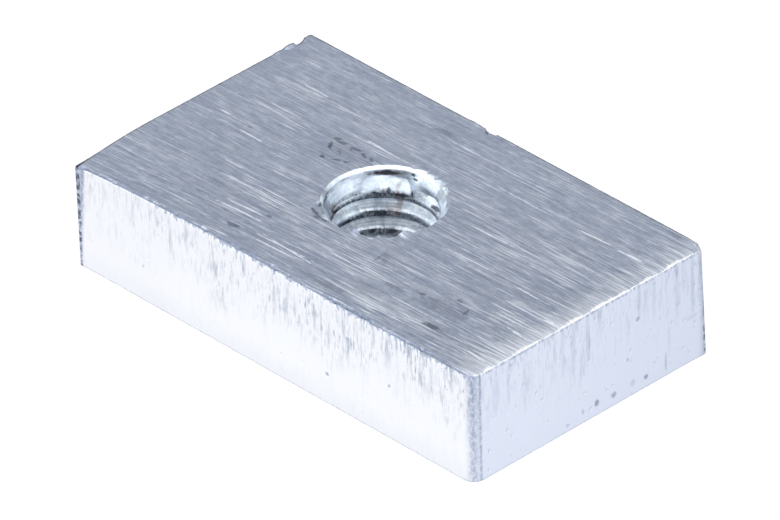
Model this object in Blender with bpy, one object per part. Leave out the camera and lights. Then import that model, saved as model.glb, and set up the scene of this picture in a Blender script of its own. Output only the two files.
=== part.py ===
"""Rectangular block nut: a slice sawn from drawn flat bar, then drilled, countersunk and tapped.

The origin is the middle of the lower sawn face. +X runs along the length and +Z towards the upper
sawn face. The block is one solid, and the tools that cut it stay in the file as hidden cutters.
"""

import math

import bmesh
import bpy

# Bar and slice, in metres.
LENGTH = 0.026
WIDTH = 0.015
THICKNESS = 0.0058
# The bar's corners were dressed unevenly, the one between the front and right sides the most.
FRONT_RIGHT_RADIUS = 0.00065
BACK_RIGHT_RADIUS = 0.0003
LEFT_RADIUS = 0.00012
SAWN_EDGE_BREAK = 0.00006

# Tapped hole, in metres and radians. The thread is metric, with 60 degrees between its flanks.
THREAD_DIAMETER = 0.006
THREAD_PITCH = 0.001
# The countersink's mouth is this much wider than the thread.
COUNTERSINK_MARGIN = 0.0001
COUNTERSINK_ANGLE = math.radians(90)
# Each flank of the thread leans this far from square to the hole.
FLANK_SLOPE = math.radians(30)
# The hole was drilled a little off the middle of the block, along its length.
HOLE_OFFSET = -0.0003
# Direction, seen from above, in which the thread groove runs out of the upper face.
THREAD_RUN_OUT = math.radians(76)

# Fineness of the faceted curves.
CORNER_SEGMENTS = 10
TURN_SEGMENTS = 96

# How far a cutter stands clear of the face that it cuts through.
CUTTER_CLEARANCE = 0.0006
# Points closer than this are one point.
MERGE_DISTANCE = 0.000001

# Aluminium, as the sawn bar shows it.
METAL_COLOUR = (0.80, 0.83, 0.88, 1.0)
METAL_ROUGHNESS = 0.35


def tap_drill_radius():
    """The hole drilled for a metric thread is as wide as the thread less one pitch."""
    return (THREAD_DIAMETER - THREAD_PITCH) / 2


def clear_scene():
    for old in list(bpy.data.objects):
        bpy.data.objects.remove(old)


def object_from(name, bm):
    """Puts a finished bmesh into the scene as a named object."""
    mesh = bpy.data.meshes.new(name)
    bm.to_mesh(mesh)
    bm.free()
    made = bpy.data.objects.new(name, mesh)
    bpy.context.scene.collection.objects.link(made)
    return made


def as_cutter(obj):
    """A cutter is seen as wire and isn't part of the nut."""
    obj.hide_render = True
    obj.display_type = "WIRE"
    obj.location.x = HOLE_OFFSET
    return obj


def aluminium():
    metal = bpy.data.materials.new("sawn_aluminium")
    metal.use_nodes = True
    shader = metal.node_tree.nodes["Principled BSDF"]
    shader.inputs["Base Color"].default_value = METAL_COLOUR
    shader.inputs["Metallic"].default_value = 1.0
    shader.inputs["Roughness"].default_value = METAL_ROUGHNESS
    return metal


def bar_slice(name):
    """The blank: the bar's section, a rectangle with rounded corners, extruded to the slice's thickness."""
    bm = bmesh.new()
    x, y = LENGTH / 2, WIDTH / 2
    corners = [bm.verts.new((cx, cy, 0)) for cx, cy in ((-x, -y), (x, -y), (x, y), (-x, y))]
    radii = (LEFT_RADIUS, FRONT_RIGHT_RADIUS, BACK_RIGHT_RADIUS, LEFT_RADIUS)
    bm.faces.new(corners)
    for corner, radius in zip(corners, radii):
        bmesh.ops.bevel(
            bm,
            geom=[corner],
            offset=radius,
            segments=CORNER_SEGMENTS,
            profile=0.5,
            affect="VERTICES",
        )
    drawn = bmesh.ops.extrude_face_region(bm, geom=bm.faces[:])
    upper = [v for v in drawn["geom"] if isinstance(v, bmesh.types.BMVert)]
    bmesh.ops.translate(bm, verts=upper, vec=(0, 0, THICKNESS))
    bmesh.ops.recalc_face_normals(bm, faces=bm.faces)
    return object_from(name, bm)


def tap():
    """The drill and tap as one threaded rod that stands out of both faces.

    One pitch of the thread's outline is spun into a screw surface, whose turns meet edge to edge.
    """
    crest, root = tap_drill_radius(), THREAD_DIAMETER / 2
    root_half = THREAD_PITCH / 16
    groove_half = root_half + (root - crest) * math.tan(FLANK_SLOPE)
    outline = [
        (crest, -groove_half),
        (root, -root_half),
        (root, root_half),
        (crest, groove_half),
        (crest, THREAD_PITCH - groove_half),
    ]

    # Whole turns lie below and above the run-out, where the groove's middle crosses the upper face.
    turns_below = math.ceil((THICKNESS + CUTTER_CLEARANCE) / THREAD_PITCH) + 1
    turns_above = math.ceil(CUTTER_CLEARANCE / THREAD_PITCH) + 1
    turns = turns_below + turns_above
    low = THICKNESS - turns_below * THREAD_PITCH

    bm = bmesh.new()
    points = [bm.verts.new((radius, 0, low + height)) for radius, height in outline]
    edges = [bm.edges.new(pair) for pair in zip(points, points[1:])]
    bmesh.ops.spin(
        bm,
        geom=[*points, *edges],
        axis=(0, 0, 1),
        dvec=(0, 0, THREAD_PITCH / TURN_SEGMENTS),
        angle=2 * math.pi * turns,
        steps=turns * TURN_SEGMENTS,
        use_duplicate=False,
    )
    bmesh.ops.remove_doubles(bm, verts=bm.verts, dist=MERGE_DISTANCE)

    # Each open end is closed by a cone of faces around a point on the axis, clear of the block.
    middle = low + turns * THREAD_PITCH / 2
    rims = [e for e in bm.edges if e.is_boundary]
    for tip_height in (low - THREAD_PITCH, low + (turns + 1) * THREAD_PITCH):
        tip = bm.verts.new((0, 0, tip_height))
        for edge in rims:
            a, b = edge.verts
            if (a.co.z + b.co.z < 2 * middle) == (tip_height < middle):
                bm.faces.new((a, b, tip))
    bmesh.ops.recalc_face_normals(bm, faces=bm.faces)
    cutter = as_cutter(object_from("tap", bm))
    cutter.rotation_euler.z = THREAD_RUN_OUT
    return cutter


def countersink():
    """A cone for the mouth of the hole at both faces, joined by a stem that stays inside the hole."""
    wide = (THREAD_DIAMETER + COUNTERSINK_MARGIN) / 2
    stem = tap_drill_radius() / 2
    spread = math.tan(COUNTERSINK_ANGLE / 2)
    depth = (wide - stem) / spread
    beyond = wide + CUTTER_CLEARANCE * spread
    top, low = THICKNESS + CUTTER_CLEARANCE, -CUTTER_CLEARANCE
    outline = [(0, top), (beyond, top), (stem, THICKNESS - depth), (stem, depth), (beyond, low), (0, low)]

    bm = bmesh.new()
    points = [bm.verts.new((radius, 0, height)) for radius, height in outline]
    for above, below in zip(points, points[1:]):
        bm.edges.new((above, below))
    cutter = as_cutter(object_from("countersink", bm))
    # Half a facet's turn keeps its edges off the edges of the thread.
    cutter.rotation_euler.z = THREAD_RUN_OUT + math.pi / TURN_SEGMENTS
    turn = cutter.modifiers.new("turn", "SCREW")
    turn.axis = "Z"
    turn.angle = 2 * math.pi
    turn.steps = turn.render_steps = TURN_SEGMENTS
    turn.use_merge_vertices = True
    turn.merge_threshold = MERGE_DISTANCE
    return cutter


def cut(obj, cutter):
    boolean = obj.modifiers.new(cutter.name, "BOOLEAN")
    boolean.operation = "DIFFERENCE"
    boolean.solver = "EXACT"
    boolean.object = cutter


def nut_block():
    nut = bar_slice("nut_block")
    nut.data.materials.append(aluminium())
    edge_break = nut.modifiers.new("sawn_edge_break", "BEVEL")
    edge_break.width = SAWN_EDGE_BREAK
    edge_break.segments = 1
    edge_break.limit_method = "ANGLE"
    edge_break.angle_limit = math.radians(60)
    cut(nut, tap())
    cut(nut, countersink())
    return nut


clear_scene()
nut_block()
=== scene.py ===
"""Looks of a rectangular block nut: a slice of drawn aluminium bar, sawn, countersunk and tapped.

One closed mesh stands for the nut. Its thread and its rough edges come from Geometry Nodes.
"""

import math

import bmesh
import bpy
import numpy as np
from bpy.props import FloatProperty, FloatVectorProperty, IntProperty, PointerProperty
from mathutils import Matrix, Vector


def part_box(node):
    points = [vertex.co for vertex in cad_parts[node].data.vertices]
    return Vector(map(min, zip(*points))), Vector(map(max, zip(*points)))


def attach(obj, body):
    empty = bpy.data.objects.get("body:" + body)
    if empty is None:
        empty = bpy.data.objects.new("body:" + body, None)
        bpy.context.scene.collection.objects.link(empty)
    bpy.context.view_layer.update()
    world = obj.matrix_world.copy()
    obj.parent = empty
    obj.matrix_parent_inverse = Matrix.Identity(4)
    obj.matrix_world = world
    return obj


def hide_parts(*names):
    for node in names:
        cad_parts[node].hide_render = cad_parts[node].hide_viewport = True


bl_info = {
    "name": "Block Nut",
    "version": (1, 0, 0),
    "blender": (4, 5, 0),
    "location": "View3D > Sidebar > Block Nut",
    "description": "Builds a sawn and tapped aluminium block nut on its studio floor",
    "category": "Add Mesh",
}

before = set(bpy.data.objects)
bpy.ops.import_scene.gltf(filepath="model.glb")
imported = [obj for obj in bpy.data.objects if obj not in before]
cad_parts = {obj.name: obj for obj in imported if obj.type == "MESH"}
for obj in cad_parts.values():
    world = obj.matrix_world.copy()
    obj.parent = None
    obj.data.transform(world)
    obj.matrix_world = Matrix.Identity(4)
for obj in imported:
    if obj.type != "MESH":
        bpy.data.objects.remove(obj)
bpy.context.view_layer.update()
NODE = "nut_block"
NODE_LOW, NODE_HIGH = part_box(NODE)

MM = 0.001
MERGE_DISTANCE = 0.000001


# Sizes and colours that a user would change


def length_property(name, description, default):
    return FloatProperty(name=name, description=description, default=default, unit="LENGTH", precision=5)


def angle_property(name, description, degrees):
    return FloatProperty(name=name, description=description, default=math.radians(degrees), subtype="ANGLE")


def factor_property(name, description, default):
    return FloatProperty(name=name, description=description, default=default, min=0, max=1, subtype="FACTOR")


def colour_property(name, description, default):
    return FloatVectorProperty(name=name, description=description, default=default, min=0, max=1, subtype="COLOR")


class BlockSettings(bpy.types.PropertyGroup):
    """The slice of bar, its rounded corners and its sawn edges."""

    length: length_property("Length", "Along X", NODE_HIGH.x - NODE_LOW.x)
    width: length_property("Width", "Along Y, the width of the bar", NODE_HIGH.y - NODE_LOW.y)
    thickness: length_property("Thickness", "Along Z, between the two sawn faces", NODE_HIGH.z - NODE_LOW.z)
    front_right_radius: length_property("Front Right Corner", "Radius of the most rounded corner", 0.65 * MM)
    back_right_radius: length_property("Back Right Corner", "Radius of the corner behind it", 0.3 * MM)
    left_radius: length_property("Left Corners", "Radius of the two sharp corners", 0.12 * MM)
    edge_break: length_property("Edge Break", "Width of the broken edge round each sawn face", 0.035 * MM)
    burr_height: length_property("Burr Height", "How far the saw's burr stands out", 0.03 * MM)
    bite_depth: length_property("Bite Depth", "How deep the saw's teeth tore the edges", 0.035 * MM)
    seed: IntProperty(name="Seed", description="Seed of the rough edges", default=4)


class ThreadSettings(bpy.types.PropertyGroup):
    """The tapped hole, a metric thread with 60 degrees between its flanks."""

    offset: length_property("Offset", "Distance of the hole from the middle, along X", -0.3 * MM)
    diameter: length_property("Diameter", "Across the roots of the groove", 6 * MM)
    pitch: length_property("Pitch", "Rise of the thread in one turn", 1 * MM)
    flank_slope: angle_property("Flank Slope", "Lean of each flank from square to the hole", 30)
    run_out: angle_property("Run-out", "Direction in which the groove leaves the upper face", 76)
    root_wear: factor_property("Root Wear", "Share of the groove's depth that lies in its worn root", 0.5)
    crest_wear: factor_property("Crest Wear", "Lean of the crests' upper part", 0.45)
    chamfer: length_property("Chamfer", "Width of the bright chamfer at the mouth", 0.14 * MM)
    mouth_depth: length_property("Mouth Depth", "Crests above this depth are cut back", 0.40 * MM)
    opening: factor_property("Opening", "Lean of the mouth's wall where the groove runs out", 0.45)
    tear: length_property("Tear", "How deep the crests are torn", 0.12 * MM)
    seed: IntProperty(name="Seed", description="Seed of the torn crests", default=7)


class FinishSettings(bpy.types.PropertyGroup):
    """Colours of the bare aluminium on each kind of face."""

    # The sawn faces' grey is partly their duller finish and partly painted shade, the grey of the room they reflect
    # put into their colour.
    sawn: colour_property("Sawn Face", "Upper and lower faces", (0.375, 0.428, 0.540))
    sawn_light: colour_property("Light Scratch", "Fresh scratches on the sawn faces", (0.84, 0.88, 0.95))
    # Also the colour of the painted shade along the front edge of the upper face.
    sawn_dark: colour_property("Dark Scratch and Shade", "Dull grooves on the sawn faces", (0.15, 0.18, 0.25))
    drawn: colour_property("Drawn Side", "The front and back faces", (0.89, 0.905, 0.95))
    end: colour_property("End Face", "The two end faces", (0.71, 0.76, 0.88))
    # Also the colour of the painted shade on the sides' corners, under the burr and at the foot.
    drawn_dark: colour_property("Drawn Marks and Shade", "Upright marks and pits on the sides", (0.31, 0.37, 0.50))
    bore: colour_property("Thread", "Freshly cut thread", (0.83, 0.915, 1.0))
    # Also the colour of the painted shade in the thread and of the painted shadow lines along the edges.
    bore_dark: colour_property("Thread Dirt and Shade", "Swarf and shade left in the thread", (0.05, 0.06, 0.085))
    bore_oil: colour_property("Thread Oil", "Brown film of oil in the thread", (0.28, 0.22, 0.20))


class StageSettings(bpy.types.PropertyGroup):
    """Floor, lamps and camera."""

    floor_colour: colour_property("Floor", "Colour of the floor", (0.92, 0.92, 0.92))
    floor_size: length_property("Floor Size", "Side of the square floor", 8.0)
    sky: FloatProperty(name="Sky", description="Brightness of the room above the horizon", default=0.70)
    windows: FloatProperty(name="Windows", description="Brightness of the room behind the camera", default=1.45)
    overhead: FloatProperty(name="Overhead Lamp", description="Brightness of the softbox overhead", default=2.0)
    key: FloatProperty(name="Key Lamp", description="Brightness of the softbox at the left", default=1.6)
    azimuth: angle_property("Azimuth", "Camera's direction round the nut, from its front", 46.521)
    elevation: angle_property("Elevation", "Camera's height above the horizon", 33.570)
    roll: angle_property("Roll", "Camera's turn about its own line of sight", -1.395)
    distance: length_property("Distance", "From the camera to the nut", 622.2 * MM)
    lens: FloatProperty(name="Lens", description="Focal length on a 36 mm sensor", default=624.2, unit="CAMERA")


# Node trees


class Nodes:
    """Adds nodes to a tree. A value is a number, a vector, a colour or another node's output."""

    def __init__(self, tree):
        self.tree = tree

    def feed(self, socket, value):
        if isinstance(value, bpy.types.NodeSocket):
            self.tree.links.new(value, socket)
        elif value is not None:
            socket.default_value = value

    def add(self, kind, *values, **settings):
        node = self.tree.nodes.new(kind)
        for name, value in settings.items():
            setattr(node, name, value)
        for socket, value in zip(node.inputs, values):
            self.feed(socket, value)
        return node

    def math(self, operation, a, b=None, c=None, clamp=False):
        return self.add("ShaderNodeMath", a, b, c, operation=operation, use_clamp=clamp).outputs[0]

    def total(self, *values):
        result = values[0]
        for value in values[1:]:
            result = self.math("ADD", result, value)
        return result

    def product(self, *values):
        result = values[0]
        for value in values[1:]:
            result = self.math("MULTIPLY", result, value)
        return result

    def ramp(self, value, low, high, to_low=0.0, to_high=1.0, smooth=False):
        """The value from low to high, turned into to_low to to_high and held there beyond."""
        kind = "SMOOTHSTEP" if smooth else "LINEAR"
        return self.add(
            "ShaderNodeMapRange", value, low, high, to_low, to_high, interpolation_type=kind
        ).outputs[0]

    def vector(self, operation, a, b=None, output=0):
        return self.add("ShaderNodeVectorMath", a, b, operation=operation).outputs[output]

    def split(self, vector):
        return self.add("ShaderNodeSeparateXYZ", vector).outputs

    def point(self, x, y, z):
        return self.add("ShaderNodeCombineXYZ", x, y, z).outputs[0]

    def noise(self, vector, scale=1.0, detail=2.0, roughness=0.5, seed=None):
        """Noise from 0 to 1. With a seed the noise is another one at each value of it."""
        node = self.tree.nodes.new("ShaderNodeTexNoise")
        if seed is not None:
            node.noise_dimensions = "4D"
            self.feed(node.inputs["W"], seed)
        for name, value in (("Vector", vector), ("Scale", scale), ("Detail", detail), ("Roughness", roughness)):
            self.feed(node.inputs[name], value)
        return node.outputs[0]

    def mix(self, factor, a, b):
        """Colour a turned into colour b by the factor."""
        node = self.tree.nodes.new("ShaderNodeMix")
        node.data_type = "RGBA"
        self.feed(node.inputs[0], factor)
        self.feed(node.inputs[6], rgba(a))
        self.feed(node.inputs[7], rgba(b))
        return node.outputs[2]

    def group(self, tree, **values):
        """A node group of this kind of tree, with its named inputs fed."""
        node = self.tree.nodes.new("ShaderNodeGroup")
        node.node_tree = tree
        for name, value in values.items():
            self.feed(node.inputs[name], value)
        return node.outputs


def rgba(colour):
    """A colour property's three numbers with their alpha; an output is passed on as it is."""
    return colour if isinstance(colour, bpy.types.NodeSocket) else (*colour, 1.0)


def new_tree(name, kind, inputs, outputs):
    """An empty node group with the named inputs, each (name, socket type, default), and outputs."""
    tree = bpy.data.node_groups.new(name, kind)
    for title, socket_type, default in inputs:
        socket = tree.interface.new_socket(title, in_out="INPUT", socket_type=socket_type)
        if default is not None:
            socket.default_value = default
    for title, socket_type in outputs:
        tree.interface.new_socket(title, in_out="OUTPUT", socket_type=socket_type)
    return tree, tree.nodes.new("NodeGroupInput").outputs, tree.nodes.new("NodeGroupOutput").inputs


def run_tree(obj, tree, values):
    """The mesh that a Geometry Nodes tree makes of an object, with the modifier gone again."""
    modifier = obj.modifiers.new(tree.name, "NODES")
    modifier.node_group = tree
    for item in tree.interface.items_tree:
        if item.in_out == "INPUT" and item.name in values:
            modifier[item.identifier] = values[item.name]
    evaluated = obj.evaluated_get(bpy.context.evaluated_depsgraph_get())
    mesh = bpy.data.meshes.new_from_object(evaluated)
    obj.modifiers.remove(modifier)
    return mesh


def new_object(name, mesh):
    made = bpy.data.objects.new(name, mesh)
    bpy.context.scene.collection.objects.link(made)
    return made


# The block's shell, in mesh code

LONG_SEGMENTS = 352
SHORT_SEGMENTS = 192
CORNER_SEGMENTS = 16
HOLE_SEGMENTS = 288

# Distances of the rows of points from the sawn edge, inwards over the face and down the side.
FACE_ROWS = [inset * MM for inset in (0.06, 0.13, 0.20, 0.28, 0.37, 0.48, 0.62, 1.2, 2.2, 3.4)]
SIDE_ROWS = [depth * MM for depth in (0.12, 0.19, 0.27, 0.37, 0.5, 0.67, 0.87, 1.1, 1.36, 1.65, 1.95, 2.27, 2.6)]
HOLE_RINGS = [margin * MM for margin in (0.0, 0.09, 0.2, 0.4)]


def bar_outline(block):
    """Points round the bar's section, counter-clockwise from the start of the back right corner."""
    x, y = block.length / 2, block.width / 2
    corners = [
        (x, y, block.back_right_radius),
        (-x, y, block.left_radius),
        (-x, -y, block.left_radius),
        (x, -y, block.front_right_radius),
    ]

    def on_corner(index, degrees):
        cx, cy, radius = corners[index % 4]
        middle = np.array([cx - math.copysign(radius, cx), cy - math.copysign(radius, cy)])
        turn = math.radians(degrees)
        return middle + radius * np.array([math.cos(turn), math.sin(turn)])

    points = []
    for index in range(4):
        start = 90 * index
        points += [on_corner(index, start + 90 * step / CORNER_SEGMENTS) for step in range(CORNER_SEGMENTS)]
        begin, end = on_corner(index, start + 90), on_corner(index + 1, start + 90)
        count = LONG_SEGMENTS if index % 2 == 0 else SHORT_SEGMENTS
        points += [begin + (end - begin) * step / count for step in range(count)]
    return np.array(points)


def hole_circle(thread, radius):
    """Points round the hole, at the same angles as the columns of the threaded wall."""
    turns = thread.run_out - math.pi + 2 * math.pi * np.arange(HOLE_SEGMENTS) / HOLE_SEGMENTS
    return np.stack([thread.offset + radius * np.cos(turns), radius * np.sin(turns)], axis=1)


def quads_between(first, second):
    """Quads between two rings of as many points."""
    return [
        (first[i - 1], first[i], second[i], second[i - 1])
        for i in range(len(first))
    ]


def triangles_between(outer, inner, points, centre):
    """Triangles between two rings of different counts, walked round by each point's angle."""

    def sorted_ring(ring):
        angles = np.arctan2(points[ring, 1], points[ring, 0] - centre)
        order = np.argsort(angles)
        return np.asarray(ring)[order], angles[order]

    (outer, outer_angles), (inner, inner_angles) = sorted_ring(outer), sorted_ring(inner)
    faces = []
    i = j = 0
    while i < len(outer) or j < len(inner):
        next_outer = outer_angles[i + 1] if i + 1 < len(outer) else outer_angles[0] + 2 * math.pi
        next_inner = inner_angles[j + 1] if j + 1 < len(inner) else inner_angles[0] + 2 * math.pi
        a, b = outer[i % len(outer)], inner[j % len(inner)]
        if j == len(inner) or (i < len(outer) and next_outer <= next_inner):
            faces.append((a, outer[(i + 1) % len(outer)], b))
            i += 1
        else:
            faces.append((a, inner[(j + 1) % len(inner)], b))
            j += 1
    return faces


def shell_mesh(block, thread):
    """The block without its hole's wall: both sawn faces round the hole, the broken edges and the sides."""
    outline = bar_outline(block)
    half = np.array([block.length / 2, block.width / 2])
    height, broken = block.thickness, block.edge_break

    def inset_ring(inset, z):
        return np.column_stack([outline * (1 - inset / half), np.full(len(outline), z)])

    def hole_ring(margin, z):
        ring = hole_circle(thread, thread.diameter / 2 + margin)
        return np.column_stack([ring, np.full(len(ring), z)])

    face = [hole_ring(margin, height) for margin in HOLE_RINGS]
    face += [inset_ring(inset, height) for inset in reversed(FACE_ROWS)]
    face += [inset_ring(broken, height), inset_ring(broken * 0.3, height - broken * 0.3)]
    side = [inset_ring(0, height - broken), *[inset_ring(0, height - depth) for depth in SIDE_ROWS]]
    upper = face + side
    lower = [ring * [1, 1, -1] + [0, 0, height] for ring in reversed(upper)]
    rings = upper + [inset_ring(0, height / 2)] + lower

    starts = np.cumsum([0] + [len(ring) for ring in rings])
    points = np.concatenate(rings)
    indices = [list(range(a, b)) for a, b in zip(starts, starts[1:])]
    faces, sawn = [], []
    last_of_face = len(face) - 1
    for k, (first, second) in enumerate(zip(indices, indices[1:])):
        if len(first) == len(second):
            made = quads_between(first, second)
        elif len(first) < len(second):
            made = triangles_between(second, first, points, thread.offset)
        else:
            made = triangles_between(first, second, points, thread.offset)
        faces += made
        on_face = k < last_of_face or k >= len(rings) - 1 - last_of_face
        sawn += [on_face] * len(made)

    mesh = bpy.data.meshes.new("shell")
    mesh.from_pydata(points.tolist(), [], faces)
    is_sawn = mesh.attributes.new("sawn", "BOOLEAN", "FACE")
    is_sawn.data.foreach_set("value", sawn)
    for name, weight in edge_weights(points, block).items():
        layer = mesh.attributes.new(name, "FLOAT", "POINT")
        layer.data.foreach_set("value", weight)
    return mesh


EDGE_REACH = 0.26 * MM


def edge_weights(points, block):
    """How much each point takes of the burr and of the torn bites, from 0 away from the sawn edges."""
    x, y, z = points.T
    half_x, half_y = block.length / 2, block.width / 2
    inwards = np.minimum(half_x - np.abs(x), half_y - np.abs(y))
    from_face = np.minimum(z, block.thickness - z)
    near = np.clip(1 - np.hypot(inwards, from_face) / EDGE_REACH, 0, 1)
    upper = z > block.thickness / 2
    at_right = (half_x - x) < (half_y - np.abs(y))
    at_front = (half_y + y) < (half_x - np.abs(x))
    burr = np.where(upper & at_right, 1.0, 0.12)
    bite = np.where(at_front, np.where(upper, 1.0, 0.4), np.where(at_right, 0.3, 0.12))
    return {"burr": near * burr, "bite": near * bite}


# The thread, by Geometry Nodes

ROWS_TO_CREST = 4
ROWS_TO_FLANK = 5
ROWS_TO_ROOT = 2
ROWS_TO_PITCH = ROWS_TO_CREST + 2 * ROWS_TO_FLANK + ROWS_TO_ROOT


def thread_tree():
    """A tree that makes the wall of a tapped hole: a grid whose rows follow the thread's crests and roots."""
    tree, given, result = new_tree(
        "threaded_wall",
        "GeometryNodeTree",
        [
            ("Geometry", "NodeSocketGeometry", None),
            ("Offset", "NodeSocketFloat", 0.0),
            ("Diameter", "NodeSocketFloat", 6 * MM),
            ("Pitch", "NodeSocketFloat", 1 * MM),
            ("Flank Slope", "NodeSocketFloat", math.radians(30)),
            ("Thickness", "NodeSocketFloat", 6 * MM),
            ("Run-out", "NodeSocketFloat", 0.0),
            ("Root Wear", "NodeSocketFloat", 0.3),
            ("Crest Wear", "NodeSocketFloat", 0.45),
            ("Chamfer", "NodeSocketFloat", 0.2 * MM),
            ("Mouth Depth", "NodeSocketFloat", 0.5 * MM),
            ("Opening", "NodeSocketFloat", 0.45),
            ("Turns", "NodeSocketInt", 8),
            ("Columns", "NodeSocketInt", HOLE_SEGMENTS),
            ("Material", "NodeSocketMaterial", None),
        ],
        [("Geometry", "NodeSocketGeometry")],
    )
    n = Nodes(tree)
    pitch, height = given["Pitch"], given["Thickness"]
    root = n.product(given["Diameter"], 0.5)
    crest = n.product(n.math("SUBTRACT", given["Diameter"], pitch), 0.5)

    # The grid lies flat first: X is the turn about the hole, Y counts the pitches.
    rows = n.total(n.product(given["Turns"], ROWS_TO_PITCH), 1)
    columns = n.total(given["Columns"], 1)
    grid = n.add("GeometryNodeMeshGrid", 2 * math.pi, given["Turns"], columns, rows)
    turn, count, _ = n.split(n.add("GeometryNodeInputPosition").outputs[0])
    count = n.total(count, n.product(given["Turns"], 0.5))
    whole = n.math("FLOOR", n.total(count, 0.001))
    part = n.math("SUBTRACT", count, whole)

    # Within a pitch come the crest, the flank out to the root, the root and the flank back.
    # The root is worn, so the lower flank reaches its full depth only at the root's far side.
    marks = np.cumsum([ROWS_TO_CREST, ROWS_TO_FLANK, ROWS_TO_ROOT, ROWS_TO_FLANK]) / ROWS_TO_PITCH
    worn = given["Root Wear"]
    outward = n.total(
        n.product(n.math("SUBTRACT", 1.0, worn), n.ramp(part, marks[0], marks[1])),
        n.product(worn, n.ramp(part, marks[1], marks[2])),
    )
    inward = n.ramp(part, marks[2], marks[3])
    depth = n.math("SUBTRACT", root, crest)
    flank_rise = n.math("DIVIDE", n.product(depth, n.math("TANGENT", given["Flank Slope"])), pitch)
    root_rise = 1 / 8
    crest_rise = n.math("SUBTRACT", 1 - root_rise, n.product(flank_rise, 2))
    rise = n.total(
        n.product(crest_rise, n.ramp(part, 0, marks[0])),
        n.product(flank_rise, outward),
        n.product(root_rise, n.ramp(part, marks[1], marks[2])),
        n.product(flank_rise, inward),
    )
    cut = n.product(depth, n.math("SUBTRACT", outward, inward))

    # The upper part of each crest leans, except behind the hole's middle, where it is sharp.
    sharp_turns = n.product(n.ramp(turn, 0.46, 0.72, smooth=True), n.ramp(turn, 1.1, 1.7, 1.0, 0.0, smooth=True))
    past_middle = n.product(n.ramp(turn, 1.3, 1.9, smooth=True), n.ramp(turn, 2.6, 3.0, 1.0, 0.0, smooth=True))
    before_middle = n.product(n.ramp(turn, 0.46, 0.1, smooth=True), n.ramp(turn, -2.6, -2.0, smooth=True))
    lean = n.product(
        given["Crest Wear"],
        n.math("SUBTRACT", 1.0, sharp_turns),
        n.total(1.0, n.product(past_middle, 0.7), n.product(before_middle, 0.7)),
    )
    upper_part = n.math("MAXIMUM", n.math("SUBTRACT", rise, n.product(crest_rise, 0.4)), 0.0)
    upper_part = n.math("MINIMUM", upper_part, n.product(crest_rise, 0.6))
    worn_crest = n.product(lean, pitch, upper_part)
    worn_flank = n.product(worn_crest, n.math("SUBTRACT", 1.0, outward))

    # The middle of the root crosses the upper face at the run-out, where the turn is 0.
    middle = n.total(crest_rise, flank_rise, root_rise / 2)
    level = n.total(whole, rise, n.math("DIVIDE", turn, 2 * math.pi))
    level = n.math("SUBTRACT", level, n.total(middle, n.math("SUBTRACT", given["Turns"], 2)))
    z = n.total(height, n.product(pitch, level))
    z = n.math("MINIMUM", n.math("MAXIMUM", z, 0.0), height)

    # Each point belongs to a crest: from the middle of the root upwards, to the next one.
    from_face = n.math("MINIMUM", z, n.math("SUBTRACT", height, z))
    upper_half = n.math("GREATER_THAN", part, (marks[1] + marks[2]) / 2)
    flank_half = n.product(n.math("GREATER_THAN", part, marks[0] + 0.001), n.math("SUBTRACT", 1.0, upper_half))
    crest_level = n.total(n.math("SUBTRACT", level, rise), n.product(crest_rise, 0.5), upper_half)
    crest_depth = n.product(pitch, crest_level, -1)

    # A crest that starts near the upper face is cut back, and so is its twin at the lower face.
    mouth = given["Mouth Depth"]
    full = n.total(mouth, 0.2 * MM)
    from_below = n.math("SUBTRACT", height, crest_depth)
    formed = n.product(n.ramp(crest_depth, mouth, full, smooth=True), n.ramp(from_below, mouth, full, smooth=True))
    formed_above = n.ramp(n.math("SUBTRACT", crest_depth, pitch), mouth, full, smooth=True)
    opened = n.math("SUBTRACT", 1.0, sharp_turns)
    step = n.ramp(turn, 0.5, 1.9, 0.0, 0.09 * MM, smooth=True)
    step = n.product(step, n.ramp(turn, 2.6, 3.1, 1.0, 0.0))
    past_chamfer = n.math("MAXIMUM", n.math("SUBTRACT", from_face, n.total(given["Chamfer"], step)), 0.0)
    cut_back = n.math("SUBTRACT", root, n.total(given["Chamfer"], n.product(opened, given["Opening"], past_chamfer)))

    # The flank under a crest that is cut back runs out in a steep cone.
    depth_above = n.math("SUBTRACT", crest_depth, n.product(pitch, n.math("SUBTRACT", 1.0, upper_half)))
    lead_slope = n.ramp(depth_above, 0.24 * MM, 0.38 * MM, 0.38, 0.55)
    above_crest = n.product(pitch, n.math("MAXIMUM", n.math("SUBTRACT", rise, crest_rise), 0.0))
    lead = n.math("MINIMUM", n.total(crest, worn_crest, n.product(lead_slope, above_crest)), cut_back)
    threaded = n.total(crest, cut, worn_flank)

    def switch(factor, low, high):
        return n.total(n.product(high, factor), n.product(low, n.math("SUBTRACT", 1.0, factor)))

    blunt = n.math("MAXIMUM", n.product(threaded, flank_half), cut_back)
    blunt = switch(upper_half, blunt, lead)
    sharp = switch(n.product(flank_half, n.math("SUBTRACT", 1.0, formed_above)), threaded, lead)
    wall = switch(formed, blunt, sharp)
    radius = n.math("MAXIMUM", wall, n.math("SUBTRACT", root, from_face))

    bearing = n.total(turn, given["Run-out"])
    place = n.point(
        n.total(given["Offset"], n.product(radius, n.math("COSINE", bearing))),
        n.product(radius, n.math("SINE", bearing)),
        z,
    )
    moved = n.add("GeometryNodeSetPosition")
    n.feed(moved.inputs["Geometry"], grid.outputs["Mesh"])
    n.feed(moved.inputs["Position"], place)

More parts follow.
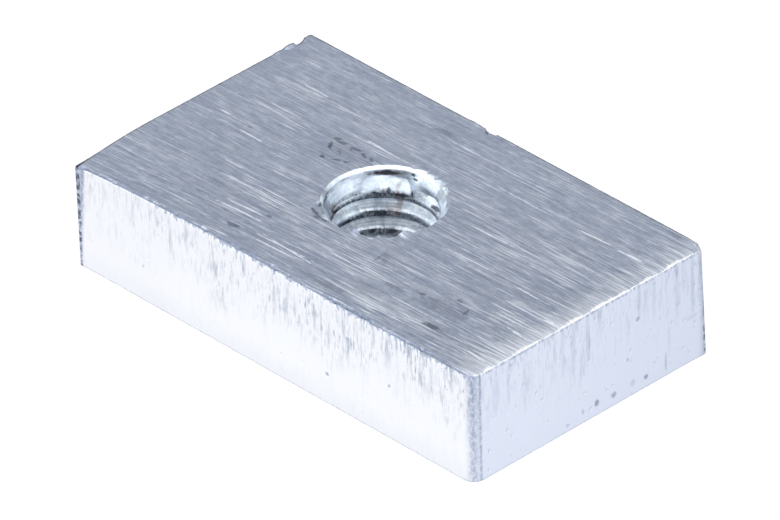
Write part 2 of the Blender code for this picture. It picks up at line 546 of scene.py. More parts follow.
    # Crests and the run-out tear most; the roots and the mouth's rim stay as cut.
    sharpness = n.ramp(radius, n.math("SUBTRACT", root, n.product(depth, 0.35)), crest)
    near_run_out = n.ramp(n.math("ABSOLUTE", turn), 0.35, 0.8, 1.0, 0.0, smooth=True)
    near_top = n.ramp(n.math("SUBTRACT", height, z), 0.5 * MM, 1.1 * MM, 1.0, 0.0)
    inside = n.ramp(from_face, 0.0, 0.12 * MM)
    tear = n.math("MAXIMUM", n.product(sharpness, 0.6), n.product(near_run_out, near_top, 1.8))
    stored = n.add("GeometryNodeStoreNamedAttribute", data_type="FLOAT", domain="POINT")
    n.feed(stored.inputs["Geometry"], moved.outputs[0])
    n.feed(stored.inputs["Name"], "tear")
    n.feed(stored.inputs["Value"], n.product(tear, inside))

    merged = n.add("GeometryNodeMergeByDistance")
    n.feed(merged.inputs["Geometry"], stored.outputs[0])
    n.feed(merged.inputs["Distance"], MERGE_DISTANCE)
    real = n.add("GeometryNodeRealizeInstances", merged.outputs[0])
    finish = n.add("GeometryNodeSetMaterial")
    n.feed(finish.inputs["Geometry"], real.outputs[0])
    n.feed(finish.inputs["Material"], given["Material"])
    n.feed(result["Geometry"], finish.outputs[0])
    return tree


def wear_tree():
    """A tree that joins the hole's wall to the shell and roughens the sawn edges and the crests."""
    tree, given, result = new_tree(
        "sawn_and_torn_edges",
        "GeometryNodeTree",
        [
            ("Geometry", "NodeSocketGeometry", None),
            ("Hole", "NodeSocketObject", None),
            ("Offset", "NodeSocketFloat", 0.0),
            ("Burr Height", "NodeSocketFloat", 0.06 * MM),
            ("Bite Depth", "NodeSocketFloat", 0.15 * MM),
            ("Tear", "NodeSocketFloat", 0.08 * MM),
            ("Edge Seed", "NodeSocketFloat", 0.0),
            ("Thread Seed", "NodeSocketFloat", 0.0),
            ("Sawn", "NodeSocketMaterial", None),
            ("Drawn", "NodeSocketMaterial", None),
        ],
        [("Geometry", "NodeSocketGeometry")],
    )
    n = Nodes(tree)

    def attribute(name, kind="FLOAT"):
        return n.add("GeometryNodeInputNamedAttribute", name, data_type=kind).outputs[0]

    # The two flat finishes first, while the shell is alone.
    sides = n.add("GeometryNodeSetMaterial")
    n.feed(sides.inputs["Geometry"], given["Geometry"])
    n.feed(sides.inputs["Material"], given["Drawn"])
    faces = n.add("GeometryNodeSetMaterial")
    n.feed(faces.inputs["Geometry"], sides.outputs[0])
    n.feed(faces.inputs["Selection"], attribute("sawn", "BOOLEAN"))
    n.feed(faces.inputs["Material"], given["Sawn"])

    wall = n.add("GeometryNodeObjectInfo", given["Hole"])
    joined = n.add("GeometryNodeJoinGeometry")
    n.feed(joined.inputs[0], faces.outputs[0])
    n.feed(joined.inputs[0], wall.outputs["Geometry"])
    merged = n.add("GeometryNodeMergeByDistance")
    n.feed(merged.inputs["Geometry"], joined.outputs[0])
    n.feed(merged.inputs["Distance"], MERGE_DISTANCE)

    # Burrs stand out along the edge's normal, and bites go in.
    place = n.add("GeometryNodeInputPosition").outputs[0]
    normal = n.add("GeometryNodeInputNormal").outputs[0]
    waves = n.ramp(n.noise(place, 1 / (0.4 * MM), 3.0, 0.65, given["Edge Seed"]), 0.35, 0.65, 0.3, 1.0)
    burr = n.product(attribute("burr"), given["Burr Height"], waves)
    gaps = n.noise(place, 1 / (0.5 * MM), 3.0, 0.7, n.total(given["Edge Seed"], 11))
    bite = n.product(attribute("bite"), given["Bite Depth"], n.ramp(gaps, 0.47, 0.68, smooth=True))
    outwards = n.math("SUBTRACT", burr, bite)

    # Torn crests move in and out across the hole's axis.
    chips = n.noise(place, 1 / (0.34 * MM), 3.0, 0.65, given["Thread Seed"])
    torn = n.product(attribute("tear"), given["Tear"], n.ramp(chips, 0.3, 0.7, -1.0, 1.0))
    dents = n.noise(place, 1 / (0.30 * MM), 2.0, 0.6, n.total(given["Thread Seed"], 5))
    dented = n.product(attribute("tear"), given["Tear"], n.ramp(dents, 0.3, 0.7, -0.7, 0.7))
    from_axis = n.vector("MULTIPLY", n.vector("SUBTRACT", place, n.point(given["Offset"], 0, 0)), (1, 1, 0))
    shift = n.vector(
        "ADD",
        n.vector("MULTIPLY", normal, n.point(outwards, outwards, outwards)),
        n.vector("ADD", n.vector("MULTIPLY", n.vector("NORMALIZE", from_axis), n.point(torn, torn, torn)),
                 n.point(0, 0, dented)),
    )
    worn = n.add("GeometryNodeSetPosition")
    n.feed(worn.inputs["Geometry"], merged.outputs[0])
    n.feed(worn.inputs["Offset"], shift)
    real = n.add("GeometryNodeRealizeInstances", worn.outputs[0])
    n.feed(result["Geometry"], real.outputs[0])
    return tree


# Nicks in the sawn edges, in mm: place, reach along X and Y, depth and slant of their walls (1 is slanted)
NICKS = [
    (-13.0, 6.72, 0.40, 0.34, 0.19, 0.5),
    (-0.95, 7.5, 0.38, 0.35, 0.15, 0.5),
    (-1.15, 7.5, 0.12, 0.28, 0.10, 0.5),
    (5.8, -7.42, 0.34, 0.10, 0.11, 1.0),
    (6.74, -7.48, 0.22, 0.10, 0.08, 1.0),
    (7.26, -7.48, 0.16, 0.10, 0.07, 1.0),
    (-6.2, -7.5, 0.20, 0.10, 0.07, 1.0),
    (1.4, -7.5, 0.24, 0.10, 0.07, 1.0),
    (13.0, 2.2, 0.10, 0.16, 0.06, 1.0),
    (13.2, 7.7, 0.72, 0.72, 0.40, 1.0),
]
# Bumps that stand out of the sawn edges, in mm: place, reach along X and Y, and height
BUMPS = [
    (-13.0, 6.05, 0.30, 0.45, 0.09),
    (-13.0, 5.3, 0.20, 0.30, 0.04),
    (-2.0, 7.5, 0.50, 0.20, 0.04),
    (12.98, 2.9, 0.12, 0.30, 0.05),
    (12.98, -3.2, 0.12, 0.35, 0.05),
    (12.98, 5.6, 0.12, 0.30, 0.03),
]
# Burrs and chips round the hole's mouth: bearing and half-width in degrees, rise and push outwards in mm
RIM_CHIPS = [
    (286, 7, 0.13, -0.20),
    (291, 3, 0.05, -0.06),
    (303, 6, -0.12, 0.06),
    (310, 3, 0.05, -0.06),
    (320, 8, -0.10, 0.05),
    (333, 8, 0.12, -0.15),
    (339, 3, 0.04, -0.08),
    (348, 5, 0.04, -0.05),
    (12, 8, 0.03, -0.04),
    (35, 6, -0.04, 0.03),
    (47, 6, 0.02, 0.04),
    (55, 3, -0.05, -0.06),
    (63, 5, 0.04, 0.02),
    (70, 3, -0.07, -0.09),
    (76, 4, 0.05, 0.04),
    (83, 3, -0.05, -0.08),
    (88, 4, 0.03, 0.03),
    (95, 3, -0.06, -0.05),
    (101, 5, 0.02, 0.02),
    (110, 4, -0.03, -0.03),
    (202, 7, -0.02, -0.02),
    (214, 6, -0.03, 0.01),
    (229, 5, -0.10, 0.08),
    (247, 11, -0.07, 0.13),
]
CHIP_REACH = 0.25 * MM


# Corners where the slice isn't true, in mm: place, reach along X and Y, slump of the upper face, and how
# far the corner stands out at its top and at its foot
CORNERS = [
    (-13.0, -7.5, 9.5, 4.8, 0.35, 0.16, 0.06),
    (13.0, 7.5, 1.5, 1.5, 0.0, -0.12, 0.08),
]
CORNER_REACH = 1.5


def bend_corners(points, block):
    """Lowers the upper face at each corner that isn't true, and leans the corner outwards or inwards."""
    x, y, z = points.T
    upper_share = np.clip(2 * z / block.thickness - 1, 0, 1)
    for corner_x, corner_y, reach_x, reach_y, slump, top_lean, foot_lean in CORNERS:
        off = np.hypot((x / MM - corner_x) / reach_x, (y / MM - corner_y) / reach_y)
        z -= slump * MM * np.clip(1 - off, 0, 1) ** 2 * upper_share
        away = np.hypot(x / MM - corner_x, y / MM - corner_y)
        lean = foot_lean + (top_lean - foot_lean) * z / block.thickness
        pushed = lean * MM * np.clip(1 - away / CORNER_REACH, 0, 1) ** 2
        x += math.copysign(math.sqrt(0.5), corner_x) * pushed
        y += math.copysign(math.sqrt(0.5), corner_y) * pushed


def cut_nicks(points, block):
    """Presses each nick down into the upper face and, less far, into the side under it, and raises the bumps."""
    x, y, z = points.T
    depth_here = block.thickness - z
    for nick_x, nick_y, reach_x, reach_y, depth, slant in NICKS:
        off = ((x / MM - nick_x) / reach_x) ** 2 + ((y / MM - nick_y) / reach_y) ** 2
        dip = depth * MM * np.clip(1 - off, 0, 1) ** slant
        z -= np.where(depth_here < dip, dip - depth_here, 0)
    for bump_x, bump_y, reach_x, reach_y, height in BUMPS:
        off = ((x / MM - bump_x) / reach_x) ** 2 + ((y / MM - bump_y) / reach_y) ** 2
        z += height * MM * np.clip(1 - off, 0, 1) * np.clip(1 - depth_here / EDGE_REACH, 0, 1)


def chip_mouth(points, block, thread):
    """Raises and leans each burr at the hole's mouth, and sinks each chip."""
    x, y, z = points.T
    across = x - thread.offset
    radius, bearing = np.hypot(across, y), np.degrees(np.arctan2(y, across))
    outside = np.abs(radius - thread.diameter / 2) / CHIP_REACH
    share = np.clip(1 - np.maximum(outside, (block.thickness - z) / CHIP_REACH), 0, 1)
    grown = np.zeros(len(points))
    for where, half_width, rise, push in RIM_CHIPS:
        off = (bearing - where + 180) % 360 - 180
        here = share * np.clip(1 - (off / half_width) ** 2, 0, 1) ** 2
        z += rise * MM * here
        grown += push * MM * here
    x += across / radius * grown
    y += y / radius * grown


# Finishes

SCALAR = "NodeSocketFloat"
VECTOR = "NodeSocketVector"


def linear_marks():
    """Group: marks that run one way. The vector has one unit to a mark's length or width."""
    tree, given, result = new_tree(
        "linear_marks",
        "ShaderNodeTree",
        [("Vector", VECTOR, None), ("Light Above", SCALAR, 0.6), ("Dark Above", SCALAR, 0.6)],
        [("Light", SCALAR), ("Dark", SCALAR), ("Height", SCALAR)],
    )
    n = Nodes(tree)
    vector = given["Vector"]
    light = n.noise(vector, 1.0, 3.0, 0.6)
    dark = n.noise(n.vector("ADD", vector, (31.7, 12.9, 7.3)), 0.8, 3.0, 0.6)
    n.feed(result["Light"], n.ramp(light, given["Light Above"], n.total(given["Light Above"], 0.14)))
    n.feed(result["Dark"], n.ramp(dark, given["Dark Above"], n.total(given["Dark Above"], 0.14)))
    n.feed(result["Height"], n.math("SUBTRACT", light, dark))
    return tree


def pitting():
    """Group: round pits of uneven size. The vector has one unit to a pit's cell."""
    tree, given, result = new_tree(
        "pitting",
        "ShaderNodeTree",
        [("Vector", VECTOR, None), ("Amount", SCALAR, 0.3), ("Size", SCALAR, 0.25)],
        [("Mask", SCALAR)],
    )
    n = Nodes(tree)
    cells = n.add("ShaderNodeTexVoronoi")
    n.feed(cells.inputs["Vector"], given["Vector"])
    n.feed(cells.inputs["Scale"], 1.0)
    chance = n.split(cells.outputs["Color"])
    there = n.math("LESS_THAN", chance[0], given["Amount"])
    size = n.product(given["Size"], n.ramp(chance[1], 0, 1, 0.35, 1.0))
    pit = n.ramp(cells.outputs["Distance"], n.product(size, 0.5), size, 1.0, 0.0)
    n.feed(result["Mask"], n.product(pit, there))
    return tree


def placed_mark():
    """Group: one soft oblong mark at its place. An uneven value, about 0, breaks up its edge."""
    tree, given, result = new_tree(
        "placed_mark",
        "ShaderNodeTree",
        [
            ("Vector", VECTOR, None),
            ("Centre", VECTOR, None),
            ("Turn", VECTOR, None),
            ("Reach", VECTOR, (1, 1, 1)),
            ("Uneven", SCALAR, 0.0),
            ("Break-up", SCALAR, 0.5),
            ("Strength", SCALAR, 1.0),
        ],
        [("Mask", SCALAR)],
    )
    n = Nodes(tree)
    local = n.add(
        "ShaderNodeMapping", given["Vector"], given["Centre"], given["Turn"], given["Reach"], vector_type="TEXTURE"
    )
    distance = n.vector("LENGTH", local.outputs[0], output=1)
    ragged = n.math("MULTIPLY_ADD", given["Uneven"], given["Break-up"], distance)
    n.feed(result["Mask"], n.ramp(ragged, 0.5, 1.0, given["Strength"], 0.0, smooth=True))
    return tree


def corner_nearness():
    """Group: 1 on the bar's rounded corners, falling to 0 on its flats."""
    tree, given, result = new_tree(
        "corner_nearness",
        "ShaderNodeTree",
        [("Vector", VECTOR, None), ("Half Size", VECTOR, (1, 1, 1)), ("Reach", SCALAR, 1.0)],
        [("Mask", SCALAR)],
    )
    n = Nodes(tree)
    apart = n.vector("SUBTRACT", given["Half Size"], n.vector("ABSOLUTE", given["Vector"]))
    x, y, _ = n.split(apart)
    n.feed(result["Mask"], n.ramp(n.math("MAXIMUM", x, y), 0, given["Reach"], 1.0, 0.0, smooth=True))
    return tree


def new_metal(name, base_roughness):
    """A metal's material with its Principled shader, and the nodes in millimetres of object space."""
    material = bpy.data.materials.new(name)
    material.use_nodes = True
    n = Nodes(material.node_tree)
    shader = material.node_tree.nodes["Principled BSDF"]
    shader.inputs["Metallic"].default_value = 1.0
    shader.inputs["Roughness"].default_value = base_roughness
    place = n.add("ShaderNodeTexCoord").outputs["Object"]
    millimetres = n.add("ShaderNodeMapping", place)
    millimetres.inputs["Scale"].default_value = (1 / MM,) * 3
    return material, n, shader, millimetres.outputs[0]


def scaled(n, vector, x, y, z, shift=(0, 0, 0), turn=0.0):
    """The vector turned back by these degrees, with one unit to each of these lengths, and moved."""
    node = n.add("ShaderNodeMapping", vector, vector_type="TEXTURE")
    node.inputs["Location"].default_value = (-shift[0] * x, -shift[1] * y, -shift[2] * z)
    node.inputs["Rotation"].default_value = (0, 0, math.radians(turn))
    node.inputs["Scale"].default_value = (x, y, z)
    return node.outputs[0]


def bumped(n, shader, height, distance):
    bump = n.add("ShaderNodeBump")
    bump.inputs["Distance"].default_value = distance
    n.feed(bump.inputs["Height"], height)
    n.feed(shader.inputs["Normal"], bump.outputs[0])


def stroke(start, end, half_width, strength):
    """A thin mark between two places, given like the other marks."""
    along = Vector(end) - Vector(start)
    middle = (Vector(start) + Vector(end)) / 2
    turn = math.degrees(math.atan2(along.y, along.x))
    return (middle.x, middle.y), (along.length / 2 + half_width, half_width), turn, 0.9, strength


# Marks on the upper face, in mm: place, reach, turn in degrees, break-up and strength.
# Scratches lie closer together and brighter in the light patches.
LIGHT_PATCHES = [
    ((-11.0, 5.7), (0.7, 0.35), 0, 0.8, 0.9),
    ((-9.9, 3.8), (2.2, 0.7), 0, 0.8, 0.8),
    ((-9.2, 1.8), (2.4, 0.8), 0, 0.8, 0.7),
    ((-10.6, 0.3), (1.6, 0.6), 0, 0.8, 0.6),
    ((-4.6, 3.9), (4.2, 0.5), 0, 0.9, 0.6),
    ((-4.2, -3.6), (4.2, 0.9), 0, 0.8, 0.8),
    ((1.4, -4.6), (4.5, 0.8), 0, 0.8, 0.8),
    ((3.2, 2.6), (3.6, 0.8), 0, 0.8, 0.6),
    ((8.4, 1.6), (3.8, 1.6), 0, 0.8, 0.8),
    ((6.5, -6.2), (4.2, 0.8), 0, 0.8, 0.8),
    ((11.4, -2.4), (2.4, 1.6), 0, 0.8, 0.9),
    ((12.2, -5.6), (2.4, 2.2), 0, 0.8, 1.0),
    ((12.3, 3.2), (1.6, 3.0), 0, 0.8, 0.7),
]
DARK_PATCHES = [
    ((-2.4, 5.9), (1.1, 0.30), 0, 1.0, 0.40),
    ((-4.4, 1.5), (1.9, 0.95), 0, 1.0, 0.22),
    ((-3.85, -6.25), (0.55, 0.20), 0, 0.9, 0.60),
    ((-3.25, -4.6), (0.22, 0.16), 0, 0.8, 0.55),
    ((-7.0, -4.3), (0.9, 0.25), 0, 1.0, 0.30),
    ((8.0, -4.3), (2.0, 0.55), 0, 1.0, 0.40),
    ((6.46, -4.2), (0.22, 0.12), 0, 0.7, 0.70),
    ((8.1, -3.4), (0.26, 0.12), 0, 0.7, 0.60),
    ((8.6, -5.75), (0.55, 0.20), 0, 0.9, 0.75),
    ((3.1, -3.3), (0.9, 0.22), -50, 0.9, 0.35),
    ((5.2, -4.7), (0.8, 0.20), 0, 0.9, 0.45),
    ((-9.26, 0.0), (0.20, 0.10), 0, 0.7, 0.45),
    ((2.6, -6.7), (1.6, 0.30), 0, 1.0, 0.35),
    ((-1.6, -3.1), (0.22, 0.22), 0, 0.7, 0.60),
]
DARK_STROKES = [
    stroke((-5.61, 1.68), (-5.31, 1.26), 0.14, 0.80),
    stroke((-5.69, 2.01), (-4.80, 2.05), 0.11, 0.65),
    stroke((-4.70, 2.04), (-3.97, 2.08), 0.09, 0.75),
    stroke((-3.97, 2.08), (-3.45, 1.83), 0.12, 0.70),
    stroke((-5.20, 0.66), (-4.95, 0.54), 0.14, 0.85),
    stroke((-4.58, 0.74), (-4.15, 0.95), 0.11, 0.70),
    stroke((-4.05, 0.95), (-3.77, 1.11), 0.11, 0.70),
    stroke((-5.85, 1.98), (-5.53, 2.17), 0.11, 0.75),
    stroke((-4.70, 2.20), (-4.40, 1.70), 0.09, 0.55),
    stroke((-4.90, 1.55), (-4.55, 1.20), 0.11, 0.50),
    stroke((-3.35, 2.05), (-3.05, 1.85), 0.12, 0.65),
    stroke((2.84, -2.88), (2.91, -3.96), 0.12, 0.45),
    stroke((8.9, -3.7), (9.0, -4.1), 0.11, 0.60),
    stroke((-2.35, -2.78), (-1.60, -2.95), 0.11, 0.80),
    stroke((-1.60, -2.97), (-0.95, -3.10), 0.08, 0.65),
]
LIGHT_STROKES = [
    stroke((-6.5, 2.80), (-0.9, 2.98), 0.05, 0.60),
    stroke((-4.9, 3.00), (-2.8, 2.92), 0.07, 0.75),
    stroke((-10.4, 4.26), (-8.4, 4.28), 0.07, 0.60),
    stroke((-11.4, 0.10), (-10.5, 0.11), 0.06, 0.80),
    stroke((-9.5, -0.48), (-7.6, -0.51), 0.05, 0.80),
    stroke((-8.2, -2.67), (-6.8, -2.69), 0.05, 0.55),
    stroke((-7.7, -3.59), (-4.6, -3.44), 0.05, 0.60),
    stroke((-6.1, -4.94), (-2.9, -4.72), 0.06, 0.80),
    stroke((-6.3, -5.37), (-2.7, -5.08), 0.06, 0.80),
    stroke((-3.0, -6.00), (0.8, -5.81), 0.05, 0.75),
    stroke((-3.2, -6.37), (0.6, -6.18), 0.05, 0.80),
    stroke((-2.6, -5.80), (1.7, -6.01), 0.05, 0.80),
    stroke((2.0, -6.41), (7.2, -6.39), 0.05, 0.65),
    stroke((4.8, -5.31), (8.7, -5.25), 0.05, 0.60),
    stroke((4.1, -0.83), (7.9, -0.66), 0.05, 0.60),
    stroke((3.9, 1.29), (7.1, 1.42), 0.05, 0.70),
    stroke((-3.1, 5.60), (5.3, 5.74), 0.05, 0.40),
    stroke((1.8, 4.40), (6.6, 4.44), 0.04, 0.60),
    stroke((7.4, 4.41), (10.0, 4.61), 0.06, 0.80),
    stroke((10.3, 4.50), (11.8, 4.59), 0.08, 0.80),
    stroke((9.0, -0.82), (10.6, -0.84), 0.06, 0.85),
    stroke((12.0, -1.83), (12.7, -1.79), 0.12, 0.95),
    stroke((11.2, -5.99), (12.4, -6.10), 0.09, 0.80),
    stroke((11.3, -3.44), (12.5, -3.54), 0.09, 0.85),
]


def strongest(n, groups, place, marks, height, uneven):
    """The strongest of the placed marks at each point of the face at this height."""
    result = 0.0
    for (x, y), (reach_x, reach_y), turn, broken, strength in marks:
        mask = n.group(groups["placed_mark"], **{
            "Vector": place,
            "Centre": (x, y, height),
            "Turn": (0, 0, math.radians(turn)),
            "Reach": (reach_x, reach_y, 0.5),
            "Uneven": uneven,
            "Break-up": broken,
            "Strength": strength,
        })["Mask"]
        result = n.math("MAXIMUM", mask, result)
    return result


def sawn_finish(settings, groups, half_size):
    """Bare sawn aluminium: fine scratches along the block, duller and denser towards the front."""
    material, n, shader, place = new_metal("sawn_face", 0.4)
    x, y, _ = n.split(place)
    to_right = n.math("SUBTRACT", half_size[0], x)
    to_front = n.total(y, half_size[1])
    cloud = n.noise(scaled(n, place, 3.2, 1.8, 3.0), 1.0, 3.0, 0.55)
    grain = n.noise(scaled(n, place, 0.16, 0.10, 0.16), 1.0, 2.0, 0.6)
    smooth_edge = n.product(n.math("SUBTRACT", n.noise(scaled(n, place, 0.9, 0.35, 1.0), 1.0, 3.0, 0.6), 0.5), 2)
    rough_edge = n.product(n.math("SUBTRACT", n.noise(scaled(n, place, 0.35, 0.14, 1.0), 1.0, 2.0, 0.6), 0.5), 2)
    patches = strongest(n, groups, place, LIGHT_PATCHES, half_size[2] * 2, smooth_edge)
    dense = n.math("MAXIMUM", patches, n.ramp(to_right, 2.0, 0.2, 0.0, 0.8))

    def scratches(length, width, light_above, dark_above, turn, shift):
        return n.group(groups["linear_marks"], **{
            "Vector": scaled(n, place, length, width, 0.6, shift, turn),
            "Light Above": n.math("SUBTRACT", light_above, n.product(dense, 0.045)),
            "Dark Above": dark_above,
        })

    hair = scratches(2.6, 0.060, 0.555, 0.55, 1.0, (11, 2, 0))
    fine = scratches(1.6, 0.095, 0.565, 0.55, 2.4, (0, 0, 0))
    broad = scratches(6.0, 0.20, 0.58, 0.55, 1.8, (3, 5, 0))
    streak = scratches(15.0, 0.085, 0.645, 0.62, 3.2, (7, 1, 0))

    # The far corner is smoother than the rest.
    coarse = n.ramp(n.total(n.product(x, 0.35), n.product(y, -0.6)), -7.0, 6.0, 0.55, 1.0)
    patchy = n.product(coarse, n.ramp(cloud, 0.35, 0.62, 0.65, 1.0))
    lit = n.math("MINIMUM", n.total(patchy, n.product(dense, 0.15)), 1.0)

    dull = n.total(n.ramp(cloud, 0.3, 0.7, 0.0, 0.16), n.ramp(coarse, 0.6, 1.0, 0.0, 0.13))
    colour = n.mix(dull, settings.sawn, settings.sawn_dark)
    colour = n.mix(n.product(n.ramp(grain, 0.35, 0.75), 0.16), colour, settings.sawn_dark)
    mottle = n.noise(scaled(n, place, 0.50, 0.28, 0.5), 1.0, 2.0, 0.6)
    colour = n.mix(n.ramp(mottle, 0.52, 0.72, 0.0, 0.26), colour, settings.sawn_dark)
    colour = n.mix(n.ramp(mottle, 0.47, 0.28, 0.0, 0.18), colour, settings.sawn_light)
    colour = n.mix(n.product(broad["Dark"], patchy, 0.42), colour, settings.sawn_dark)
    colour = n.mix(n.product(fine["Dark"], patchy, 0.64), colour, settings.sawn_dark)
    colour = n.mix(n.product(hair["Dark"], patchy, 0.60), colour, settings.sawn_dark)
    for layer, share in ((broad, 0.32), (fine, 0.64), (hair, 0.74), (streak, 0.85)):
        colour = n.mix(n.product(layer["Light"], lit, share), colour, settings.sawn_light)
    fresh = strongest(n, groups, place, LIGHT_STROKES, half_size[2] * 2, rough_edge)
    colour = n.mix(fresh, colour, settings.sawn_light)
    dark = strongest(n, groups, place, DARK_PATCHES + DARK_STROKES, half_size[2] * 2, rough_edge)
    colour = n.mix(n.product(dark, n.ramp(fine["Height"], -0.3, 0.2, 1.0, 0.7)), colour, settings.sawn_dark)
    colour = n.mix(n.ramp(dark, 0.3, 0.8, 0.0, 0.5), colour, settings.bore_dark)

    # The saw's burr along the right edge gets a bright, uneven painted highlight, and the face is lighter towards that
    # edge; the front edge is frayed.
    whitish = n.product(n.ramp(to_right, 1.4, 0.1), n.ramp(y, 4.0, -5.0, 0.35, 0.75), n.ramp(fine["Height"], -0.25, 0.15, 0.4, 1.0))
    colour = n.mix(whitish, colour, settings.sawn_light)
    wavy = n.noise(scaled(n, place, 1.4, 1.4, 1.4), 1.0, 2.0, 0.6)
    width = n.ramp(wavy, 0.38, 0.62, 0.0, 0.17)
    ragged = n.total(to_right, n.product(n.math("SUBTRACT", grain, 0.5), 0.30))
    burr = n.ramp(n.math("SUBTRACT", ragged, width), 0.0, 0.06, 1.0, 0.0)
    colour = n.mix(n.product(burr, n.ramp(wavy, 0.3, 0.6, 0.55, 1.0)), colour, (1, 1, 1))
    tooth = n.noise(scaled(n, place, 0.22, 0.22, 0.22), 1.0, 3.0, 0.7)
    frayed = n.ramp(n.math("SUBTRACT", to_front, n.ramp(tooth, 0.52, 0.72, 0.0, 0.22)), 0.0, 0.05, 1.0, 0.0)
    colour = n.mix(n.product(frayed, 0.12), colour, settings.sawn_light)
    # Painted shade darkens a band of the upper face along the front edge, and a thinner painted dark line runs along
    # the edge itself.
    shade = n.ramp(n.math("SUBTRACT", to_front, n.ramp(tooth, 0.5, 0.3, 0.05, 0.35)), 0.0, 0.10, 0.32, 0.0)
    colour = n.mix(shade, colour, settings.sawn_dark)
    colour = n.mix(n.ramp(to_front, 0.16, 0.07, 0.0, 0.15), colour, settings.sawn_dark)
    # A painted dark shadow line runs along the left and back edges of the upper face.
    far_edge = n.math("MINIMUM", n.total(x, half_size[0]), n.math("SUBTRACT", half_size[1], y))
    outline = n.product(n.ramp(far_edge, 0.10, 0.05), n.ramp(tooth, 0.36, 0.50, 0.35, 0.95))
    colour = n.mix(outline, colour, settings.bore_dark)
    n.feed(shader.inputs["Base Color"], colour)
    rough = n.total(n.ramp(cloud, 0.3, 0.7, 0.36, 0.46), n.product(fine["Dark"], 0.10), n.ramp(to_front, 0.3, 0.15, 0, 0.3))
    n.feed(shader.inputs["Roughness"], rough)
    height = n.total(fine["Height"], hair["Height"], n.product(broad["Height"], 1.5), n.product(grain, 0.3))
    bumped(n, shader, height, 0.010 * MM)
    return material


# Pits and stains on the sides, in mm: place, reach and strength.
SIDE_PITS = [
    ((13.0, 3.53, 0.57), (0.3, 0.19, 0.16), 0.90),
    ((13.0, 2.69, 0.65), (0.3, 0.19, 0.24), 0.30),
    ((13.0, 1.46, 0.58), (0.3, 0.21, 0.19), 0.75),
    ((13.0, 0.37, 0.68), (0.3, 0.19, 0.22), 0.95),
    ((13.0, -0.53, 0.62), (0.3, 0.10, 0.20), 0.45),
    ((13.0, -1.5, 0.35), (0.3, 0.16, 0.12), 0.40),
    ((13.0, 3.06, 3.98), (0.3, 0.14, 0.14), 0.80),
    ((13.0, 2.39, 2.06), (0.3, 0.10, 0.12), 0.50),
    ((13.0, 4.83, 0.75), (0.3, 0.10, 0.70), 0.40),
    ((13.0, 5.05, 1.9), (0.3, 0.12, 1.10), 0.16),
    ((13.0, 6.54, 2.42), (0.3, 0.50, 0.18), 0.20),
    ((13.0, -0.15, 4.5), (0.3, 0.16, 1.90), 0.26),
    ((13.0, -1.10, 4.3), (0.3, 0.20, 2.00), 0.22),
    ((13.0, -1.75, 4.4), (0.3, 0.16, 1.80), 0.18),
    ((13.0, 3.15, 5.0), (0.3, 0.14, 1.30), 0.32),
    ((13.0, 4.1, 4.6), (0.3, 0.14, 1.60), 0.16),
    ((13.0, 5.6, 4.4), (0.3, 0.20, 2.00), 0.18),
    ((13.0, 6.6, 4.2), (0.3, 0.15, 2.10), 0.30),
    ((13.0, -4.2, 3.9), (0.3, 0.18, 1.90), 0.14),
    ((13.0, -6.0, 4.4), (0.3, 0.18, 1.60), 0.16),
    ((3.48, -7.5, 1.62), (0.13, 0.3, 0.13), 0.75),
    ((7.57, -7.5, 2.89), (0.11, 0.3, 0.13), 0.65),
    ((4.9, -7.5, 4.2), (0.14, 0.3, 0.14), 0.60),
    ((-8.7, -7.5, 1.9), (0.10, 0.3, 0.12), 0.40),
]


